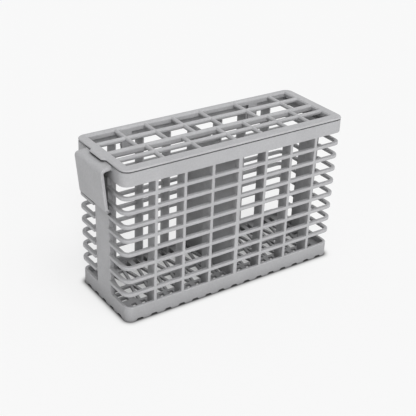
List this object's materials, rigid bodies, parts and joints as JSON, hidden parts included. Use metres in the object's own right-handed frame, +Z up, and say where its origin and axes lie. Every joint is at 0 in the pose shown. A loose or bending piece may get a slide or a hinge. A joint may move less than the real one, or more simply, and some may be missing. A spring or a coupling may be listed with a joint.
{
  "type": "dishwasher cutlery basket",
  "caption": "Long moulded lattice basket for standing cutlery in a dishwasher, with a loose grid lid and a hook handle at one end.",
  "frame": {"origin": "under the middle of the whole part, in the plane the foot stands on", "axes": "+Z up; X along the basket, with the hook handle at -X; -Y is the front long wall"},
  "size_m": [0.2504, 0.0852, 0.1492],
  "materials": {
    "basket": "satin moulded polypropylene",
    "lid_grid": "satin moulded polypropylene"
  },
  "bodies": {
    "root": {"basket": "basket", "lid_grid": "lid_grid"}
  },
  "joints": []
}
